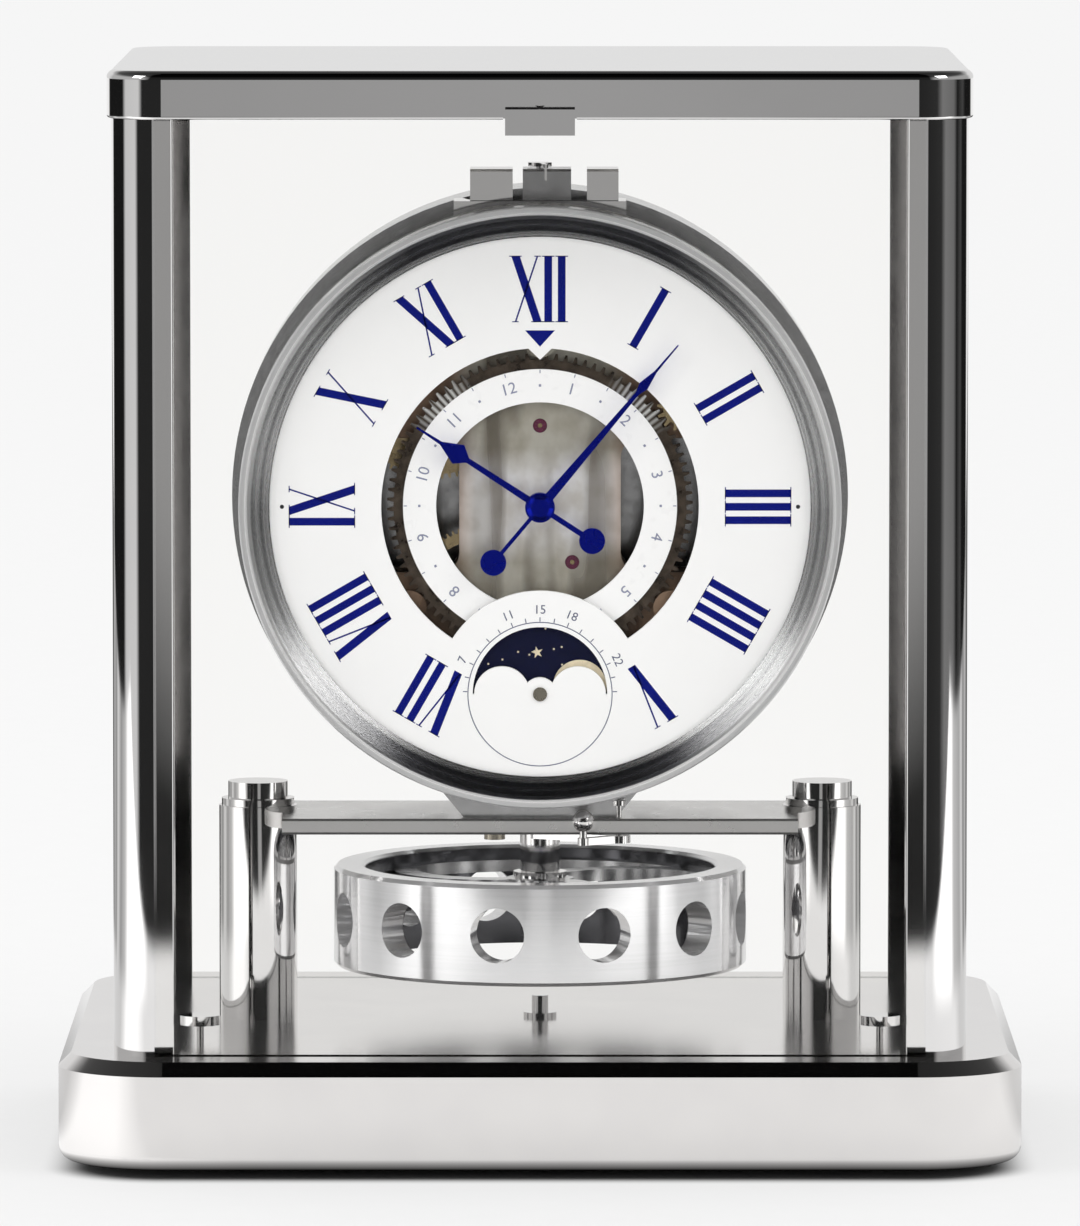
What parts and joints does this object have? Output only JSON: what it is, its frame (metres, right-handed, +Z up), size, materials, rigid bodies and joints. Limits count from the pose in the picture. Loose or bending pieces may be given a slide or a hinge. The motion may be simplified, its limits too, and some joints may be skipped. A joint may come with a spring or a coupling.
{
  "type": "desk clock",
  "caption": "Glass-cabinet torsion pendulum clock with moon phase window, month ring, blue hands and open going train.",
  "frame": {"origin": "centre of the footprint on the table; the pendulum hangs on +Z", "axes": "+Z up, the dial faces -Y, +X to the right as seen from the front"},
  "size_m": [0.198, 0.162, 0.2259],
  "materials": {
    "polished_steel": "mirror polished nickel plate",
    "satin_steel": "satin",
    "clear_glass": "clear, polished edges",
    "white_enamel": "semi-gloss white",
    "blued_steel": "glossy blue",
    "gilt_brass": "gilt, fine grain",
    "moon_blue": "semi-gloss night blue",
    "ruby": "polished synthetic ruby",
    "foot_rubber": "matte"
  },
  "bodies": {
    "case": {"base_plinth": "polished_steel", "base_cover": "satin_steel", "base_screws": "satin_steel", "rear_foot": "foot_rubber", "post_front_left": "polished_steel", "post_front_right": "polished_steel", "post_rear_left": "polished_steel", "post_rear_right": "polished_steel", "glass_left": "clear_glass", "glass_right": "clear_glass", "glass_rear": "clear_glass", "door_catch": "polished_steel", "cap": "polished_steel", "pillar_left": "polished_steel", "pillar_right": "polished_steel", "pillar_caps": "polished_steel", "platform": "polished_steel", "cradle": "satin_steel", "movement_screws": "satin_steel", "stop_post": "polished_steel", "suspension_tube": "polished_steel", "top_bridge": "polished_steel", "suspension_head": "satin_steel", "movement_ring": "polished_steel", "bezel": "polished_steel", "dial": "white_enamel", "front_plate": "satin_steel", "rear_plate": "satin_steel", "plate_pillars": "satin_steel", "jewels": "ruby", "drum_shell": "polished_steel", "drum_cover": "satin_steel", "bellows": "gilt_brass", "capsule_spring": "satin_steel"},
    "door": {"front_glass": "clear_glass", "door_pull": "polished_steel"},
    "left_screw": {"level_screw_left": "polished_steel"},
    "right_screw": {"level_screw_right": "polished_steel"},
    "lock": {"lock_lever": "polished_steel"},
    "pendulum": {"pendulum_ring": "satin_steel", "pendulum_spider": "satin_steel", "pendulum_hub": "polished_steel", "impulse_roller": "gilt_brass", "suspension_wire": "polished_steel"},
    "index": {"regulator_index": "blued_steel"},
    "month": {"month_ring": "white_enamel"},
    "month_pinion_arbor": {"month_pinion": "gilt_brass"},
    "moon": {"moon_disc": "moon_blue"},
    "hour": {"hour_wheel": "gilt_brass", "hour_hand": "blued_steel"},
    "minute": {"centre_wheel": "gilt_brass", "cannon_pinion": "satin_steel", "minute_hand": "blued_steel", "hand_nut": "blued_steel"},
    "minute_gear": {"minute_wheel": "gilt_brass"},
    "intermediate": {"intermediate_wheel": "gilt_brass"},
    "barrel": {"mainspring_barrel": "gilt_brass"},
    "escape": {"escape_wheel": "gilt_brass"},
    "pallets": {"pallet_lever": "gilt_brass"},
    "day": {"day_wheel": "gilt_brass"}
  },
  "joints": [
    {"name": "front_door", "type": "hinge", "parent": "case", "child": "door", "pos_m": [0, -0.0677, 0.0242], "axis": [1, 0, 0], "range_deg": [0, 25]},
    {"name": "level_left", "type": "hinge", "parent": "case", "child": "left_screw", "pos_m": [-0.0704, -0.04, 0], "axis": [0, 0, 1], "range_deg": [-180, 180]},
    {"name": "level_right", "type": "hinge", "parent": "case", "child": "right_screw", "pos_m": [0.0704, -0.04, 0], "axis": [0, 0, 1], "range_deg": [-180, 180]},
    {"name": "lock_turn", "type": "hinge", "parent": "case", "child": "lock", "pos_m": [0.0165, -0.017, 0.0627], "axis": [0, 0, 1], "range_deg": [-6, 0]},
    {"name": "pendulum_swing", "type": "hinge", "parent": "case", "child": "pendulum", "pos_m": [0, 0, 0.2004], "axis": [0, 0, 1], "range_deg": [-225, 225], "stiffness_Nm_per_rad": 0.000006},
    {"name": "regulator_turn", "type": "hinge", "parent": "case", "child": "index", "pos_m": [0, 0, 0.2033], "axis": [0, 0, 1], "range_deg": [-20, 20]},
    {"name": "month_turn", "type": "hinge", "parent": "case", "child": "month", "pos_m": [0, -0.0224, 0.1337], "axis": [0, 1, 0], "continuous": true},
    {"name": "month_pinion_turn", "type": "hinge", "parent": "case", "child": "month_pinion_arbor", "pos_m": [0.02877, -0.0224, 0.15384], "axis": [0, 1, 0], "continuous": true},
    {"name": "moon_turn", "type": "hinge", "parent": "case", "child": "moon", "pos_m": [0, -0.0227, 0.0946], "axis": [0, 1, 0], "continuous": true},
    {"name": "minute_turn", "type": "hinge", "parent": "case", "child": "minute", "pos_m": [0, -0.0149, 0.1337], "axis": [0, 1, 0], "continuous": true},
    {"name": "hour_turn", "type": "hinge", "parent": "case", "child": "hour", "pos_m": [0, -0.0181, 0.1337], "axis": [0, 1, 0], "continuous": true},
    {"name": "minute_gear_turn", "type": "hinge", "parent": "case", "child": "minute_gear", "pos_m": [0.00707, -0.0167, 0.14077], "axis": [0, 1, 0], "continuous": true},
    {"name": "intermediate_turn", "type": "hinge", "parent": "case", "child": "intermediate", "pos_m": [0, -0.0131, 0.15029], "axis": [0, 1, 0], "continuous": true},
    {"name": "barrel_turn", "type": "hinge", "parent": "case", "child": "barrel", "pos_m": [-0.02199, -0.0113, 0.1599], "axis": [0, 1, 0], "continuous": true},
    {"name": "escape_turn", "type": "hinge", "parent": "case", "child": "escape", "pos_m": [0.00671, -0.0092, 0.1218], "axis": [0, 1, 0], "continuous": true},
    {"name": "day_turn", "type": "hinge", "parent": "case", "child": "day", "pos_m": [-0.012, -0.0181, 0.11292], "axis": [0, 1, 0], "continuous": true},
    {"name": "pallet_rock", "type": "hinge", "parent": "case", "child": "pallets", "pos_m": [0.012, -0.0092, 0.1097], "axis": [0, 1, 0], "range_deg": [-3, 3]}
  ],
  "couplings": [
    {"joint": "hour_turn", "follows": "minute_turn", "ratio": 0.083333},
    {"joint": "minute_gear_turn", "follows": "minute_turn", "ratio": -0.33333},
    {"joint": "intermediate_turn", "follows": "minute_turn", "ratio": -0.16667},
    {"joint": "barrel_turn", "follows": "minute_turn", "ratio": 0.02381},
    {"joint": "escape_turn", "follows": "minute_turn", "ratio": -4},
    {"joint": "day_turn", "follows": "minute_turn", "ratio": -0.041667},
    {"joint": "month_pinion_turn", "follows": "month_turn", "ratio": -8}
  ]
}
